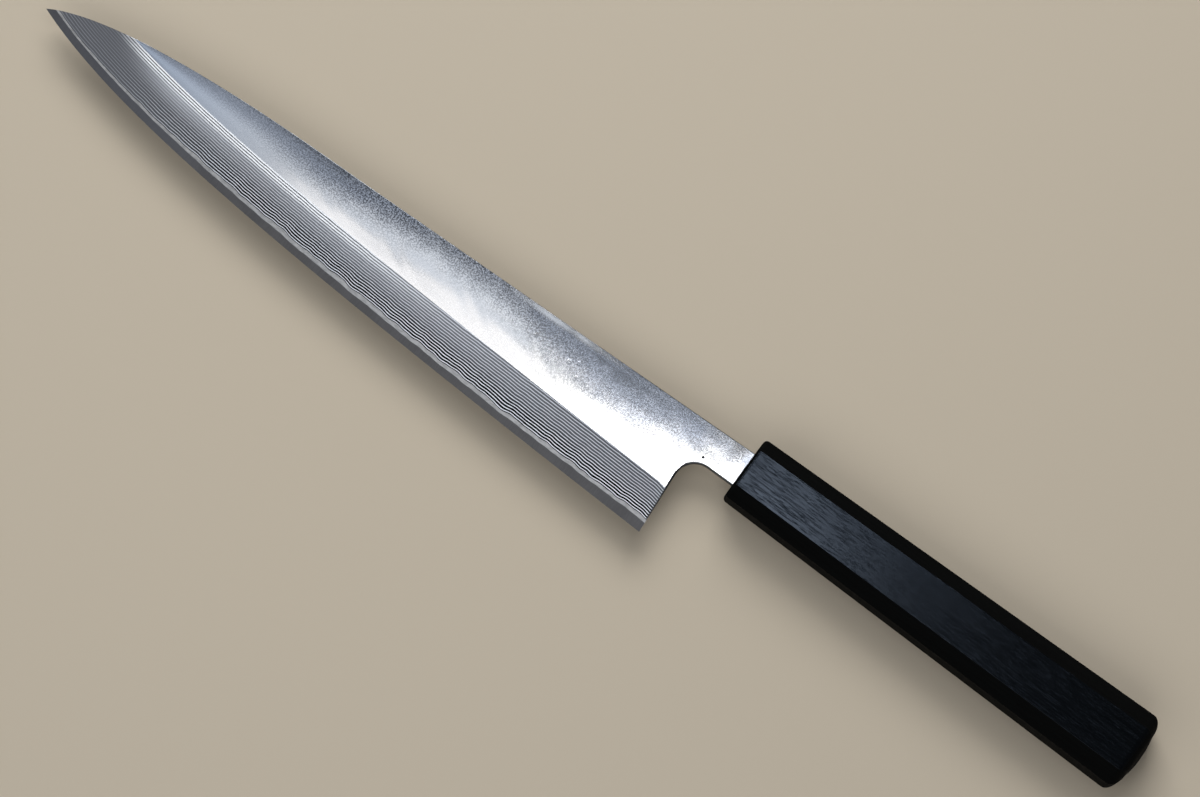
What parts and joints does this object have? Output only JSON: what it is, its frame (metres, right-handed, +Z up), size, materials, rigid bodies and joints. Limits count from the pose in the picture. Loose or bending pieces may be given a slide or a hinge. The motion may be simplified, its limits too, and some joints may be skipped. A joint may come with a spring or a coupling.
{
  "type": "slicing knife",
  "caption": "Long slim slicing knife: bright flats over a wavy layered-steel bevel and dark core edge, bedded in a black octagonal wooden handle.",
  "frame": {"origin": "middle of the knife's box, on the surface that it lies on", "axes": "+X from the tip to the butt, +Y from the cutting edge to the spine, +Z up through the blade's thickness, left face up"},
  "size_m": [0.4032, 0.047, 0.0219],
  "materials": {
    "core_steel": "etched dark slate grey, fine stone finish",
    "bright_layer": "bright fine stone finish",
    "layered_steel": "bright satin flats with a mottled grain, layered light and dark lines on the bevel",
    "black_wood": "dense black wood, satin, with fine straight grain",
    "adhesive": "cured resin",
    "seal": "black, flush"
  },
  "bodies": {
    "root": {"core_steel": "core_steel", "left_bright_layer": "bright_layer", "right_bright_layer": "bright_layer", "left_layered_cladding": "layered_steel", "right_layered_cladding": "layered_steel", "handle_body": "black_wood", "tang_adhesive": "adhesive", "mouth_seal": "seal"}
  },
  "joints": []
}
